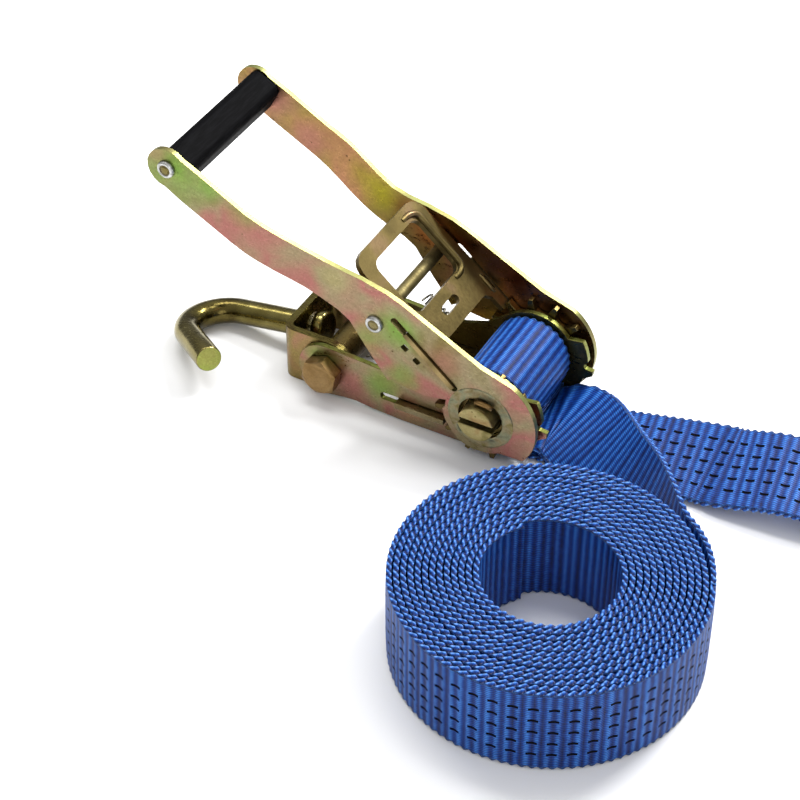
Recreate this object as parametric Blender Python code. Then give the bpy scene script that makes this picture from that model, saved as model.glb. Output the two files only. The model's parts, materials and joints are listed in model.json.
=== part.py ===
"""Ratchet tie down: a webbing ratchet with a swivelling J hook, its rolled strap and the far end fitting.

Metres, +Z up.  The ratchet lies along X with its hook at -X.  The spindle runs along Y.
The moving groups hang on empties that stand on their joint axes.
"""
import math

import bmesh
import bpy
from mathutils import Matrix, Vector

GAP = 0.0003                     # air between meshes that touch
RADIUS_STEPS = 32                # segments of a full turn on round pieces

# spindle, base frame and pivot bolt
SPINDLE_Z = 0.029
BOLT_X = -0.097
BOLT_Z = 0.0165
BASE_IN, BASE_OUT = 0.0265, 0.0295          # inner and outer face of a base plate, from the middle
BASE_HEAD_R = 0.029                         # round head of the base plate, under the spindle
BASE_CAM_R = 0.0312                         # raised cam that carries the stop notch
BASE_LOW_R = 0.0232                         # cut back head under the wheel teeth
BOLT_R = 0.006
BOLT_AF = 0.019
SLEEVE_R = 0.009

# ratchet wheels, mandrel and drum
WHEEL_IN, WHEEL_OUT = 0.0300, 0.0340
WHEEL_TIP_R, WHEEL_ROOT_R = 0.0290, 0.0205
WHEEL_TEETH = 12
WHEEL_PHASE = math.radians(26)              # middle of a tooth gap
MANDREL_R = 0.01025
MANDREL_SLOT = 0.0037
MANDREL_END = 0.0440
WEB_WIDTH = 0.050
WEB_THICK = 0.0030
DRUM_R = 0.0254

# handle
HANDLE_REST = math.radians(29.5)            # rise of the handle over -X at rest
PLATE_IN, PLATE_OUT = 0.0345, 0.0375
JOGGLE = 0.0080                             # how far the plates step outwards towards the grip
JOGGLE_START, JOGGLE_END = 0.104, 0.156
GRIP_U = 0.205
ROD_U, ROD_V, ROD_R = 0.0728, 0.0033, 0.0035

# drive pawl, in its own guide: distance from the spindle along the guide
PAWL_RISE = math.radians(12)                # guide over the handle line
PAWL_THICK = 0.0030
PAWL_TIP = 0.0270
PAWL_TOP = 0.104
SLOT_LOW, SLOT_HIGH = 0.019, 0.069
EAR_LOW, EAR_HIGH = 0.0212, 0.0585

# lock pawl, in the base plates
LOCK_Z = 0.0130
LOCK_TIP_X, LOCK_BACK_X = -0.0231, -0.0525
LOCK_THICK = 0.0034
LOCK_SLOT = (-0.0630, -0.0200)

# hook and its bracket
BRACKET_LENGTH = 0.029                      # bolt axis to the outer face of the end wall
BRACKET_HALF = 0.0260
BRACKET_THICK = 0.0040
BRACKET_HEIGHT = 0.033
HOOK_R = 0.0072
HOOK_DROOP = math.radians(9.3)
HOOK_SHANK = 0.044
HOOK_BEND_R = 0.0198
HOOK_BEND = math.radians(143)
HOOK_TAIL = 0.034
HOOK_LIFT = math.radians(9)                 # tilt of the hook's plane out of the floor plane

# strap
ROLL_CENTRE = Vector((0.087, -0.140, 0.0))
ROLL_IN_R, ROLL_OUT_R = 0.0314, 0.0770
ROLL_PITCH = 0.0034
ROLL_JOIN = math.radians(20)                # where the strand runs onto the roll
FAR_TURN = math.radians(6)                  # heading of the far end fitting
FAR_BOLT = Vector((0.3080, 0.0240, 0.0168))
LOOP_R = SLEEVE_R + GAP
STITCH_LENGTH = 0.070


def clear_scene():
    for item in list(bpy.data.objects):
        bpy.data.objects.remove(item, do_unlink=True)


def material(name, colour, roughness, metallic):
    made = bpy.data.materials.get(name)
    if made:
        return made
    made = bpy.data.materials.new(name)
    made.use_nodes = True
    shader = made.node_tree.nodes["Principled BSDF"]
    shader.inputs["Base Color"].default_value = (*colour, 1.0)
    shader.inputs["Roughness"].default_value = roughness
    shader.inputs["Metallic"].default_value = metallic
    return made


def zinc():
    return material("yellow_zinc", (0.52, 0.44, 0.24), 0.38, 0.9)


def dark_zinc():
    return material("dark_zinc", (0.33, 0.27, 0.13), 0.35, 0.9)


def steel():
    return material("plain_steel", (0.62, 0.61, 0.58), 0.35, 1.0)


def webbing():
    return material("blue_webbing", (0.03, 0.13, 0.50), 0.8, 0.0)


def plastic():
    return material("black_plastic", (0.02, 0.02, 0.02), 0.5, 0.0)


def empty(name, place, parent=None, turn=(0.0, 0.0, 0.0)):
    item = bpy.data.objects.new(name, None)
    bpy.context.collection.objects.link(item)
    item.location = place
    item.rotation_euler = turn
    item.parent = parent
    return item


def add(name, bm, finish, parent, smooth=True):
    """Makes a named object of a bmesh, hung on its group's empty."""
    bmesh.ops.recalc_face_normals(bm, faces=bm.faces)
    mesh = bpy.data.meshes.new(name)
    bm.to_mesh(mesh)
    bm.free()
    item = bpy.data.objects.new(name, mesh)
    bpy.context.collection.objects.link(item)
    item.parent = parent
    if finish:
        mesh.materials.append(finish)
    if smooth:
        mesh.shade_smooth()
        mesh.set_sharp_from_angle(angle=math.radians(35))
    return item


def cut(item, bm):
    """Takes a closed bmesh out of an object with a Boolean."""
    cutter = add(item.name + "_cutter", bm, None, item.parent, smooth=False)
    cutter.hide_render = True
    cutter.display_type = "WIRE"
    modifier = item.modifiers.new("cut", "BOOLEAN")
    modifier.operation = "DIFFERENCE"
    modifier.object = cutter


def arc(centre, radius, start, stop, steps):
    """Points on an arc in the XZ plane, angles in degrees from +X towards +Z."""
    angles = [math.radians(start + (stop - start) * i / steps) for i in range(steps + 1)]
    return [(centre[0] + radius * math.cos(a), centre[1] + radius * math.sin(a)) for a in angles]


def prism(outline, low, high, axis="Y"):
    """Extrudes a closed outline, given in XZ (or XY for axis Z), from low to high."""
    bm = bmesh.new()
    if axis == "Y":
        verts = [bm.verts.new((x, low, z)) for x, z in outline]
        shift = Vector((0.0, high - low, 0.0))
    else:
        verts = [bm.verts.new((x, y, low)) for x, y in outline]
        shift = Vector((0.0, 0.0, high - low))
    face = bm.faces.new(verts)
    made = bmesh.ops.extrude_face_region(bm, geom=[face])
    moved = [g for g in made["geom"] if isinstance(g, bmesh.types.BMVert)]
    bmesh.ops.translate(bm, verts=moved, vec=shift)
    return bm


def rounded_box(low, high, radius, steps=4):
    """Corner-rounded rectangle outline from its low and high corners."""
    corners = [
        (high[0] - radius, high[1] - radius, 0), (low[0] + radius, high[1] - radius, 90),
        (low[0] + radius, low[1] + radius, 180), (high[0] - radius, low[1] + radius, 270),
    ]
    points = []
    for x, z, start in corners:
        points += arc((x, z), radius, start, start + 90, steps)
    return points


def turned(profile, centre=(0.0, 0.0), steps=RADIUS_STEPS):
    """Solid of revolution about Y.  The profile lists (radius, y); radius 0 makes a pole.

    A profile that never meets the axis is closed into a ring.
    """
    bm = bmesh.new()
    rings = []
    for radius, y in profile:
        if radius == 0:
            rings.append([bm.verts.new((centre[0], y, centre[1]))])
            continue
        turns = [2 * math.pi * i / steps for i in range(steps)]
        rings.append([
            bm.verts.new((centre[0] + radius * math.cos(a), y, centre[1] + radius * math.sin(a))) for a in turns
        ])
    pairs = list(zip(rings, rings[1:]))
    if all(radius > 0 for radius, _ in profile):
        pairs.append((rings[-1], rings[0]))
    for first, second in pairs:
        for i in range(steps):
            j = (i + 1) % steps
            ring = [first[i % len(first)], first[j % len(first)], second[j % len(second)], second[i % len(second)]]
            bm.faces.new(list(dict.fromkeys(ring)))
    return bm


def rod(radius, low, high, centre=(0.0, 0.0), steps=RADIUS_STEPS):
    return turned([(0, low), (radius, low), (radius, high), (0, high)], centre, steps)


def tube(inner, outer, low, high, centre=(0.0, 0.0), steps=RADIUS_STEPS):
    return turned([(inner, low), (outer, low), (outer, high), (inner, high)], centre, steps)


def smooth_route(points, count):
    """Evenly spread points on a Catmull-Rom curve through the route's own points."""
    ends = [points[0] * 2 - points[1]] + list(points) + [points[-1] * 2 - points[-2]]
    out = []
    for n in range(count):
        t = n / (count - 1) * (len(points) - 1)
        i = min(int(t), len(points) - 2)
        f = t - i
        a, b, c, d = ends[i:i + 4]
        out.append(0.5 * (2 * b + (c - a) * f + (2 * a - 5 * b + 4 * c - d) * f * f + (3 * b - a - 3 * c + d) * f ** 3))
    return out


def ribbon(near, far, thick, count):
    """Flat webbing between two edge routes, kept at its own width, as one closed solid."""
    near, far = smooth_route(near, count), smooth_route(far, count)
    bm = bmesh.new()
    rings = []
    for i in range(count):
        across = (far[i] - near[i]).normalized()
        middle = (far[i] + near[i]) / 2
        before, after = max(i - 1, 0), min(i + 1, count - 1)
        along = (far[after] + near[after] - far[before] - near[before]).normalized()
        up = along.cross(across).normalized() * thick / 2
        side = across * WEB_WIDTH / 2
        rings.append([bm.verts.new(middle + v) for v in (side + up, side - up, -side - up, -side + up)])
    for a, b in zip(rings, rings[1:]):
        for k in range(4):
            bm.faces.new((a[k], a[(k + 1) % 4], b[(k + 1) % 4], b[k]))
    bm.faces.new(rings[0])
    bm.faces.new(rings[-1])
    return bm


def bar(name, points, radii, depth, finish, parent, resolution=3):
    """Round bar along a poly curve, with filled ends; radii scale the bar at each point."""
    curve = bpy.data.curves.new(name, "CURVE")
    curve.dimensions = "3D"
    curve.bevel_depth = depth
    curve.bevel_resolution = resolution
    curve.use_fill_caps = True
    spline = curve.splines.new("POLY")
    spline.points.add(len(points) - 1)
    for place, scale, point in zip(points, radii, spline.points):
        point.co = (*place, 1.0)
        point.radius = scale
    curve.materials.append(finish)
    item = bpy.data.objects.new(name, curve)
    bpy.context.collection.objects.link(item)
    item.parent = parent
    return item


# ---------------------------------------------------------------- base frame

def base_outline():
    """Side outline of a base plate: bolt end, flat sole, spur, notch, cam and cut back head."""
    head, end = (0.0, SPINDLE_Z), (BOLT_X, BOLT_Z)
    points = arc(end, 0.0162, 80, 268, 16)
    points += [(-0.085, 0.0022), (-0.078, 0.0026), (-0.068, 0.0014), (-0.050, 0.0004)]
    points += arc(head, BASE_HEAD_R, 262, 300, 6)
    points += arc(head, 0.0305, 306, 342, 5)
    points += [(0.0340, SPINDLE_Z - 0.0060), (0.0343, SPINDLE_Z - 0.0028)]
    points += arc((0.0305, SPINDLE_Z - 0.0008), 0.0018, 280, 100, 4)
    points += arc(head, BASE_CAM_R, 5, 28, 5)
    points += arc(head, BASE_LOW_R, 36, 128, 12)
    points += [(-0.0215, SPINDLE_Z + 0.0125), (-0.0300, 0.0345), (-0.0420, 0.0305), (-0.0560, 0.0300)]
    return points


def base_plate(name, low, high, parent):
    item = add(name, prism(base_outline(), low, high), zinc(), parent)
    cut(item, rod(MANDREL_R + 0.0006, low - 0.001, high + 0.001, (0.0, SPINDLE_Z)))
    cut(item, rod(BOLT_R + GAP, low - 0.001, high + 0.001, (BOLT_X, BOLT_Z)))
    half = LOCK_THICK / 2 + 0.0006
    slot = rounded_box((LOCK_SLOT[0], LOCK_Z - half), (LOCK_SLOT[1], LOCK_Z + half), 0.0016, 3)
    cut(item, prism(slot, low - 0.001, high + 0.001))
    return item


def hexagon(centre, flats, low, high):
    return prism(arc(centre, flats / math.sqrt(3), 0, 300, 5), low, high)


def bolt(name, reach, centre, parent, turn=0.0):
    """Hex bolt along Y: the head at -Y, the threaded end standing out of the nut."""
    head = 0.0078
    bm = bmesh.new()
    corner = BOLT_AF / math.sqrt(3)
    rings = []
    for y, radius in ((-reach - head, BOLT_AF * 0.47), (-reach - head + 0.0012, corner), (-reach, corner)):
        angles = [math.radians(turn + 60 * i) for i in range(6)]
        rings.append([bm.verts.new((centre[0] + radius * math.cos(a), y, centre[1] + radius * math.sin(a)))
                      for a in angles])
    for a, b in zip(rings, rings[1:]):
        for i in range(6):
            bm.faces.new((a[i], a[(i + 1) % 6], b[(i + 1) % 6], b[i]))
    bm.faces.new(rings[0])
    bm.faces.new(rings[-1])
    item = add(name, bm, zinc(), parent)
    shank = add(name + "_shank", rod(BOLT_R, -reach - 0.002, reach + 0.0125, centre, 24), None, parent)
    shank.hide_render = True
    shank.display_type = "WIRE"
    join = item.modifiers.new("shank", "BOOLEAN")
    join.operation = "UNION"
    join.object = shank
    return item


def nut(name, reach, centre, parent):
    item = add(name, hexagon(centre, BOLT_AF, reach, reach + 0.0095), zinc(), parent)
    cut(item, rod(BOLT_R + 0.0004, reach - 0.001, reach + 0.0115, centre, 24))
    return item


def base_frame(parent):
    base_plate("base_plate_near", -BASE_OUT, -BASE_IN, parent)
    base_plate("base_plate_far", BASE_IN, BASE_OUT, parent)
    centre = (BOLT_X, BOLT_Z)
    bolt("pivot_bolt", BASE_OUT + GAP, centre, parent, 20)
    nut("pivot_nut", BASE_OUT + GAP, centre, parent)
    inner = BRACKET_HALF - BRACKET_THICK - GAP
    add("spacer_sleeve", tube(BOLT_R + GAP, SLEEVE_R, -inner, inner, centre), dark_zinc(), parent)


# ---------------------------------------------------------------- spindle

def mandrel_half(name, side, parent):
    """Half-round bar: one side of the slot that the webbing is threaded through."""
    flat = MANDREL_SLOT / 2
    start = math.degrees(math.asin(flat / MANDREL_R))
    outline = arc((0.0, 0.0), MANDREL_R, start, 180 - start, 14)
    outline = [(x, side * z) for x, z in outline]
    return add(name, prism(outline, -MANDREL_END, MANDREL_END), zinc(), parent)


def wheel_outline():
    """Teeth with a steep front, a leaning back and a wide round gullet."""
    pitch = 360 / WHEEL_TEETH
    shape = [
        (2.4, WHEEL_TIP_R), (4.2, 0.0270), (5.8, 0.0238), (8.5, WHEEL_ROOT_R + 0.0008),
        (13.0, WHEEL_ROOT_R), (20.0, WHEEL_ROOT_R + 0.0002), (25.2, WHEEL_ROOT_R + 0.0016),
        (27.4, 0.0262), (27.8, WHEEL_TIP_R - 0.0002),
    ]
    first = math.degrees(WHEEL_PHASE) - pitch / 2
    points = []
    for tooth in range(WHEEL_TEETH):
        for turn, radius in shape:
            a = math.radians(first + tooth * pitch + turn)
            points.append((radius * math.cos(a), radius * math.sin(a)))
    return points


def wheel(name, low, high, parent):
    item = add(name, prism(wheel_outline(), low, high), dark_zinc(), parent)
    cut(item, rod(MANDREL_R + GAP, low - 0.001, high + 0.001))
    return item


def split_pin(name, side, parent):
    """Retaining pin down through the mandrel's upper half, with its eye folded over the top."""
    y = side * 0.0400
    points = [Vector((0.0, y, MANDREL_R + GAP)) + Vector(v) for v in (
        (-0.0020, 0.0, 0.0016), (0.0010, 0.0, 0.0016), (0.0045, 0.0, 0.0014), (0.0078, 0.0, 0.0004))]
    bar(name, points, [1.0, 1.0, 1.0, 0.8], 0.0015, zinc(), parent, 2)


def spindle(parent):
    mandrel_half("mandrel_upper", 1, parent)
    mandrel_half("mandrel_lower", -1, parent)
    for label, side in (("near", -1), ("far", 1)):
        low, high = sorted((side * WHEEL_IN, side * WHEEL_OUT))
        wheel("ratchet_wheel_" + label, low, high, parent)
        split_pin("split_pin_" + label, side, parent)
    item = add("strap_drum", rod(DRUM_R, -WEB_WIDTH / 2, WEB_WIDTH / 2, steps=48), webbing(), parent)
    cut(item, rod(MANDREL_R + GAP, -WEB_WIDTH / 2 - 0.001, WEB_WIDTH / 2 + 0.001))


# ---------------------------------------------------------------- handle

def handle_outline():
    """Plate outline in the handle's own frame: the handle points along -X, its upper edge is +Z."""
    upper = [(0.0165, 0.0278), (0.050, 0.0268), (0.068, 0.0264), (0.077, 0.0254), (0.092, 0.0214),
             (0.103, 0.0174), (0.112, 0.0150), (0.124, 0.0136), (0.142, 0.0126), (0.160, 0.0112),
             (0.190, 0.0113)]
    lower = [(0.190, -0.0116), (0.158, -0.0112), (0.142, -0.0112), (0.130, -0.0108), (0.121, -0.0100),
             (0.104, -0.0080), (0.092, -0.0066), (0.084, -0.0072), (0.078, -0.0102), (0.066, -0.0160),
             (0.052, -0.0222), (0.0490, -0.0236), (0.0475, -0.0205), (0.0455, -0.0212), (0.030, -0.0150)]
    points = [(-u, v) for u, v in upper]
    points += arc((-GRIP_U, 0.0), 0.0117, 70, 290, 12)
    points += [(-u, v) for u, v in lower]
    turned_by = math.degrees(HANDLE_REST)
    cam = [(168, 180, 0.0205), (186, 228, 0.0222), (233, 262, 0.0232), (268, 300, 0.0226)]
    for start, stop, radius in cam:
        points += arc((0.0, 0.0), radius, start + turned_by, stop + turned_by, 4)
    points += arc((0.0, 0.0), 0.0315, 322 + turned_by, 447, 14)
    return points


def joggle(x):
    """Outward step of a handle plate at a place along the handle."""
    share = (-x - JOGGLE_START) / (JOGGLE_END - JOGGLE_START)
    share = min(max(share, 0.0), 1.0)
    return JOGGLE * share * share * (3 - 2 * share)


def handle_plate(name, side, parent):
    low, high = sorted((side * PLATE_IN, side * PLATE_OUT))
    bm = prism(handle_outline(), low, high)
    steps = 6
    for i in range(steps + 1):
        x = -(JOGGLE_START + (JOGGLE_END - JOGGLE_START) * i / steps)
        bmesh.ops.bisect_plane(bm, geom=bm.verts[:] + bm.edges[:] + bm.faces[:], dist=1e-6,
                               plane_co=(x, 0, 0), plane_no=(1, 0, 0))
    for vert in bm.verts:
        vert.co.y += side * joggle(vert.co.x)
    item = add(name, bm, zinc(), parent)
    low, high = low - 0.001, high + 0.001
    cut(item, rod(0.0125, low, high))
    cut(item, rod(ROD_R + GAP, low, high, (-ROD_U, ROD_V), 20))
    cut(item, rod(0.0030 + GAP, low + side * JOGGLE, high + side * JOGGLE, (-GRIP_U, 0.0), 20))
    turn = Matrix.Rotation(PAWL_RISE, 4, "Y")
    half = PAWL_THICK / 2 + 0.0007
    slot = prism(rounded_box((-SLOT_HIGH, -half), (-SLOT_LOW, half), 0.0018, 3), low, high)
    bmesh.ops.transform(slot, matrix=turn, verts=slot.verts)
    cut(item, slot)
    for u in (0.0433, 0.0525):
        window = prism(rounded_box((-u - 0.0019, -0.0092), (-u + 0.0019, -0.0056), 0.0007, 2), low, high)
        bmesh.ops.transform(window, matrix=turn, verts=window.verts)
        cut(item, window)
    return item


def rivet_rod(name, radius, reach, centre, head_r, parent):
    """Straight rod with a low round head formed on each end."""
    dome = 0.0016
    profile = [(0, -reach - dome), (head_r * 0.6, -reach - dome), (head_r, -reach - 0.0006), (head_r, -reach),
               (radius, -reach), (radius, reach), (head_r, reach), (head_r, reach + 0.0006),
               (head_r * 0.6, reach + dome), (0, reach + dome)]
    return add(name, turned(profile, centre, 20), steel(), parent)


def handle(parent):
    handle_plate("handle_plate_near", -1, parent)
    handle_plate("handle_plate_far", 1, parent)
    rivet_rod("handle_cross_rod", ROD_R, PLATE_OUT + GAP, (-ROD_U, ROD_V), 0.0046, parent)
    rivet_rod("grip_rivet", 0.0030, PLATE_OUT + JOGGLE + GAP, (-GRIP_U, 0.0), 0.0046, parent)
    inner = PLATE_IN + JOGGLE - GAP
    outline = rounded_box((-GRIP_U - 0.0060, -0.0096), (-GRIP_U + 0.0125, 0.0106), 0.0048, 5)
    grip = add("grip", prism(outline, -inner, inner), plastic(), parent)
    cut(grip, rod(0.0030 + GAP, -inner - 0.001, inner + 0.001, (-GRIP_U, 0.0), 20))


# ---------------------------------------------------------------- drive pawl

def pawl_outline():
    """Release plate in its own plane, as (distance from the spindle, y) for the +Y half."""
    return [
        (PAWL_TOP, 0.0), (PAWL_TOP, 0.0240), (PAWL_TOP - 0.0012, 0.0282), (PAWL_TOP - 0.0040, 0.0312),
        (PAWL_TOP - 0.0080, 0.0326), (0.080, 0.0330), (EAR_HIGH + 0.004, 0.0338),
        (EAR_HIGH, 0.0340), (EAR_HIGH, 0.0388), (EAR_LOW, 0.0388), (EAR_LOW, 0.0343), (PAWL_TIP, 0.0343),
        (PAWL_TIP, 0.0272), (0.0360, 0.0268), (0.0395, 0.0240), (0.0400, 0.0210), (0.0400, 0.0),
    ]


def drive_pawl(parent):
    half = pawl_outline()
    outline = [(-d, y) for d, y in half] + [(-d, -y) for d, y in reversed(half[1:-1])]
    bm = prism(outline, -PAWL_THICK / 2, PAWL_THICK / 2, "Z")
    item = add("release_plate", bm, zinc(), parent)
    window = rounded_box((-0.0955, -0.0232), (-0.0600, 0.0232), 0.0055, 4)
    cut(item, prism(window, -0.004, 0.004, "Z"))
    cut(item, prism(rounded_box((-0.0535, -0.0085), (-0.0480, 0.0075), 0.0026, 4), -0.004, 0.004, "Z"))
    for side in (-1, 1):
        slit = rounded_box((-0.0472, side * 0.0325 - 0.0008), (-0.0380, side * 0.0325 + 0.0008), 0.0007, 2)
        cut(item, prism(slit, -0.004, 0.004, "Z"))
    tab = prism(rounded_box((-0.0455, -0.0150), (-0.0435, -PAWL_THICK / 2 - GAP), 0.0004, 2), -0.0035, 0.0035)
    add("spring_seat", tab, zinc(), parent)


def coil(name, start, direction, length, radius, wire, turns, finish, parent):
    """Coil spring from a point along a direction."""
    side = direction.orthogonal().normalized()
    other = direction.cross(side).normalized()
    steps = 10
    count = turns * steps + 1
    points = []
    for i in range(count):
        a = 2 * math.pi * i / steps
        points.append(start + direction * (length * i / (count - 1))
                      + (side * math.cos(a) + other * math.sin(a)) * radius)
    return bar(name, points, [1.0] * count, wire, finish, parent, 1)


# ---------------------------------------------------------------- lock pawl

def lock_pawl(parent):
    """Flat bar across the base plates whose ears reach the wheels."""
    ear_y, body_y = 0.0342, BASE_IN - 0.0006
    half = [(-0.0300, 0.0), (-0.0300, body_y - 0.0010), (LOCK_TIP_X, body_y - 0.0010), (LOCK_TIP_X, ear_y),
            (LOCK_BACK_X, ear_y), (LOCK_BACK_X, body_y), (LOCK_BACK_X - 0.0060, body_y - 0.0020),
            (LOCK_BACK_X - 0.0090, 0.0120), (LOCK_BACK_X - 0.0090, 0.0)]
    outline = half + [(x, -y) for x, y in reversed(half[1:-1])]
    bm = prism(outline, LOCK_Z - LOCK_THICK / 2, LOCK_Z + LOCK_THICK / 2, "Z")
    add("lock_pawl", bm, zinc(), parent)


# ---------------------------------------------------------------- bracket and hook

def bracket(name, direction, parent):
    """U-shaped strap round the bolt; direction is the way its end wall faces along X."""
    outer = rounded_box((-BRACKET_LENGTH, -BRACKET_HALF), (0.060, BRACKET_HALF), 0.0070, 5)
    bm = prism([(direction * -x, y) for x, y in outer], -BRACKET_HEIGHT / 2, BRACKET_HEIGHT / 2, "Z")
    item = add(name, bm, zinc(), parent)
    inner = rounded_box((-BRACKET_LENGTH + BRACKET_THICK, -BRACKET_HALF + BRACKET_THICK),
                        (0.100, BRACKET_HALF - BRACKET_THICK), 0.0030, 4)
    cut(item, prism([(direction * -x, y) for x, y in inner], -0.03, 0.03, "Z"))
    keep = BRACKET_HEIGHT / 2
    side = [(0.0, keep), (0.0, 0.04), (0.09, 0.04), (0.09, -0.04), (0.0, -0.04), (0.0, -keep)]
    side += arc((0.0, 0.0), keep, -90, 90, 14)[1:-1]
    cut(item, prism([(direction * -x, z) for x, z in side], -0.04, 0.04))
    cut(item, rod(BOLT_R + GAP, -0.04, 0.04, (0.0, 0.0), 24))
    bore = rod(HOOK_R + 0.0011, -0.05, 0.0, (0.0, 0.0), 24)
    bmesh.ops.rotate(bore, verts=bore.verts, cent=(0, 0, 0),
                     matrix=Matrix.Rotation(math.radians(-90 if direction < 0 else 90), 3, "Z"))
    cut(item, bore)
    return item


def hook(name, parent):
    """Bar with an upset head, a straight shank along -X, the J bend and a straight tail.

    The empty it hangs on stands in the bracket's hole, with its X axis along the shank.
    """
    d = Vector((-1.0, 0.0, 0.0))
    w = Vector((0.0, -math.cos(HOOK_LIFT), math.sin(HOOK_LIFT)))
    scale = 0.0098 / HOOK_R
    points = [d * s for s in (-0.0122, -0.0120, -0.0082, -0.0066, -0.0052)]
    radii = [scale * 0.8, scale * 0.92, scale, scale * 0.98, 1.0]
    straight = 5
    for i in range(straight):
        points.append(d * (HOOK_SHANK * i / (straight - 1)))
        radii.append(1.0)
    corner = points[-1]
    centre = corner + w * HOOK_BEND_R
    steps = 16
    for i in range(1, steps + 1):
        a = HOOK_BEND * i / steps
        points.append(centre - w * HOOK_BEND_R * math.cos(a) + d * HOOK_BEND_R * math.sin(a))
        radii.append(1.0)
    out = d * math.cos(HOOK_BEND) + w * math.sin(HOOK_BEND)
    points += [points[-1] + out * HOOK_TAIL * s for s in (0.5, 1.0)]
    radii += [1.0, 1.0]
    return bar(name, points, radii, HOOK_R, dark_zinc(), parent, 3)


# ---------------------------------------------------------------- strap

def strap_roll(parent):
    """Spiral-edged ring on the floor, stepped in by one thickness where the strand runs on."""
    seat = empty("roll_centre", ROLL_CENTRE, parent)
    steps = 72
    outline = []
    for i in range(steps + 1):
        share = i / steps
        a = ROLL_JOIN + 2 * math.pi * share * 0.995
        radius = ROLL_OUT_R - ROLL_PITCH * (1 - share) - GAP * (1 - share)
        outline.append((radius * math.cos(a), radius * math.sin(a)))
    bm = prism(outline, 0.0, WEB_WIDTH, "Z")
    item = add("strap_roll", bm, webbing(), seat)
    inner = [(ROLL_IN_R * math.cos(2 * math.pi * i / 48), ROLL_IN_R * math.sin(2 * math.pi * i / 48))
             for i in range(48)]
    cut(item, prism(inner, -0.01, WEB_WIDTH + 0.01, "Z"))


def strap_tail(parent):
    """Strand from under the drum that turns up on its edge and runs round onto the roll."""
    near = [(0.0130, -0.0250, 0.0050), (0.0195, -0.0252, 0.0050), (0.0300, -0.0240, 0.0054),
            (0.0420, -0.0280, 0.0040), (0.0550, -0.0375, 0.0018), (0.0695, -0.0475, 0.0018),
            (0.0880, -0.0570, 0.0018), (0.1075, -0.0640, 0.0010)]
    far = [(0.0130, 0.0250, 0.0050), (0.0195, 0.0250, 0.0092), (0.0320, 0.0250, 0.0180),
           (0.0477, 0.0150, 0.0250), (0.0645, 0.0000, 0.0320), (0.0796, -0.0163, 0.0380),
           (0.0970, -0.0345, 0.0440), (0.1130, -0.0540, 0.0480)]
    near, far = [Vector(p) for p in near], [Vector(p) for p in far]
    for turn, radius in ((60, 0.0790), (50, 0.0780), (40, 0.0775), (30, 0.0765), (21.5, 0.0758)):
        a = math.radians(turn)
        place = ROLL_CENTRE + Vector((radius * math.cos(a), radius * math.sin(a), 0.0))
        near.append(place + Vector((0.0, 0.0, 0.0003)))
        far.append(place + Vector((0.0, 0.0, WEB_WIDTH)))
    add("strap_tail", ribbon(near, far, WEB_THICK - 0.0004, 52), webbing(), parent)


def strap_lead(parent):
    """Strand from under the drum that lies on the floor, arches up a little and lands at the sewn end."""
    heading = Vector((math.cos(FAR_TURN), math.sin(FAR_TURN), 0.0))
    left = Vector((-heading.y, heading.x, 0.0))
    stop = FAR_BOLT - heading * (STITCH_LENGTH + 0.0300)
    stop.z = 0.0019
    near = [(-0.0080, -0.0250, 0.0019), (0.0180, -0.0250, 0.0019), (0.0600, -0.0215, 0.0020),
            (0.1098, -0.0170, 0.0032), (0.1280, -0.0173, 0.0068), (0.1528, -0.0148, 0.0120),
            (0.1720, -0.0135, 0.0120), (0.1900, -0.0122, 0.0060)]
    far = [(-0.0080, 0.0250, 0.0019), (0.0180, 0.0250, 0.0020), (0.0570, 0.0257, 0.0080),
           (0.0981, 0.0303, 0.0150), (0.1175, 0.0298, 0.0185), (0.1423, 0.0323, 0.0230),
           (0.1640, 0.0355, 0.0200), (0.1850, 0.0375, 0.0090)]
    near, far = [Vector(p) for p in near], [Vector(p) for p in far]
    for back in (0.0090, 0.0):
        near.append(stop - left * WEB_WIDTH / 2 - heading * back)
        far.append(stop + left * WEB_WIDTH / 2 - heading * back)
    add("strap_lead", ribbon(near, far, WEB_THICK - 0.0002, 44), webbing(), parent)


def strap_loop(parent):
    """Sewn end: the doubled webbing rises from the floor and closes round the far sleeve."""
    outer_r = LOOP_R + WEB_THICK
    floor = -FAR_BOLT.z + 0.0004
    back = -STITCH_LENGTH - 0.0300 + GAP
    outline = [(back, floor), (-0.045, floor), (-0.030, floor + 0.0006), (-0.016, floor + 0.0026)]
    outline += arc((0.0, 0.0), outer_r, -115, 115, 20)
    outline += [(-0.020, 0.0036), (-0.034, -0.0052), (-0.045, floor + 2 * WEB_THICK), (back, floor + 2 * WEB_THICK)]
    item = add("strap_end_loop", prism(outline, -WEB_WIDTH / 2 + 0.0035, WEB_WIDTH / 2 - 0.0035), webbing(), parent)
    cut(item, rod(LOOP_R, -0.03, 0.03, (0.0, 0.0), 24))


def strap(parent):
    strap_roll(parent)
    strap_tail(parent)
    strap_lead(parent)


def far_fitting(parent):
    """Bolt, sleeve, bracket and hook on the sewn end, facing +X in the fitting's own frame."""
    seat = empty("far_seat", FAR_BOLT, parent, (0.0, 0.0, FAR_TURN))
    strap_loop(seat)
    reach = BRACKET_HALF + GAP
    bolt("far_bolt", reach, (0.0, 0.0), seat, 10)
    nut("far_nut", reach, (0.0, 0.0), seat)
    inner = BRACKET_HALF - BRACKET_THICK - GAP
    add("far_sleeve", tube(BOLT_R + GAP, SLEEVE_R, -inner, inner), dark_zinc(), seat)
    swing = empty("far_bracket_pivot", (0.0, 0.0, 0.0), seat)
    bracket("far_bracket", 1, swing)
    facing = Matrix.Rotation(math.pi, 3, "Z") @ Matrix.Rotation(-HOOK_DROOP, 3, "Y")
    hold = empty("far_hook_swivel", (BRACKET_LENGTH - BRACKET_THICK / 2, 0.0, 0.0), swing, facing.to_euler())
    hook("far_hook", hold)


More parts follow.
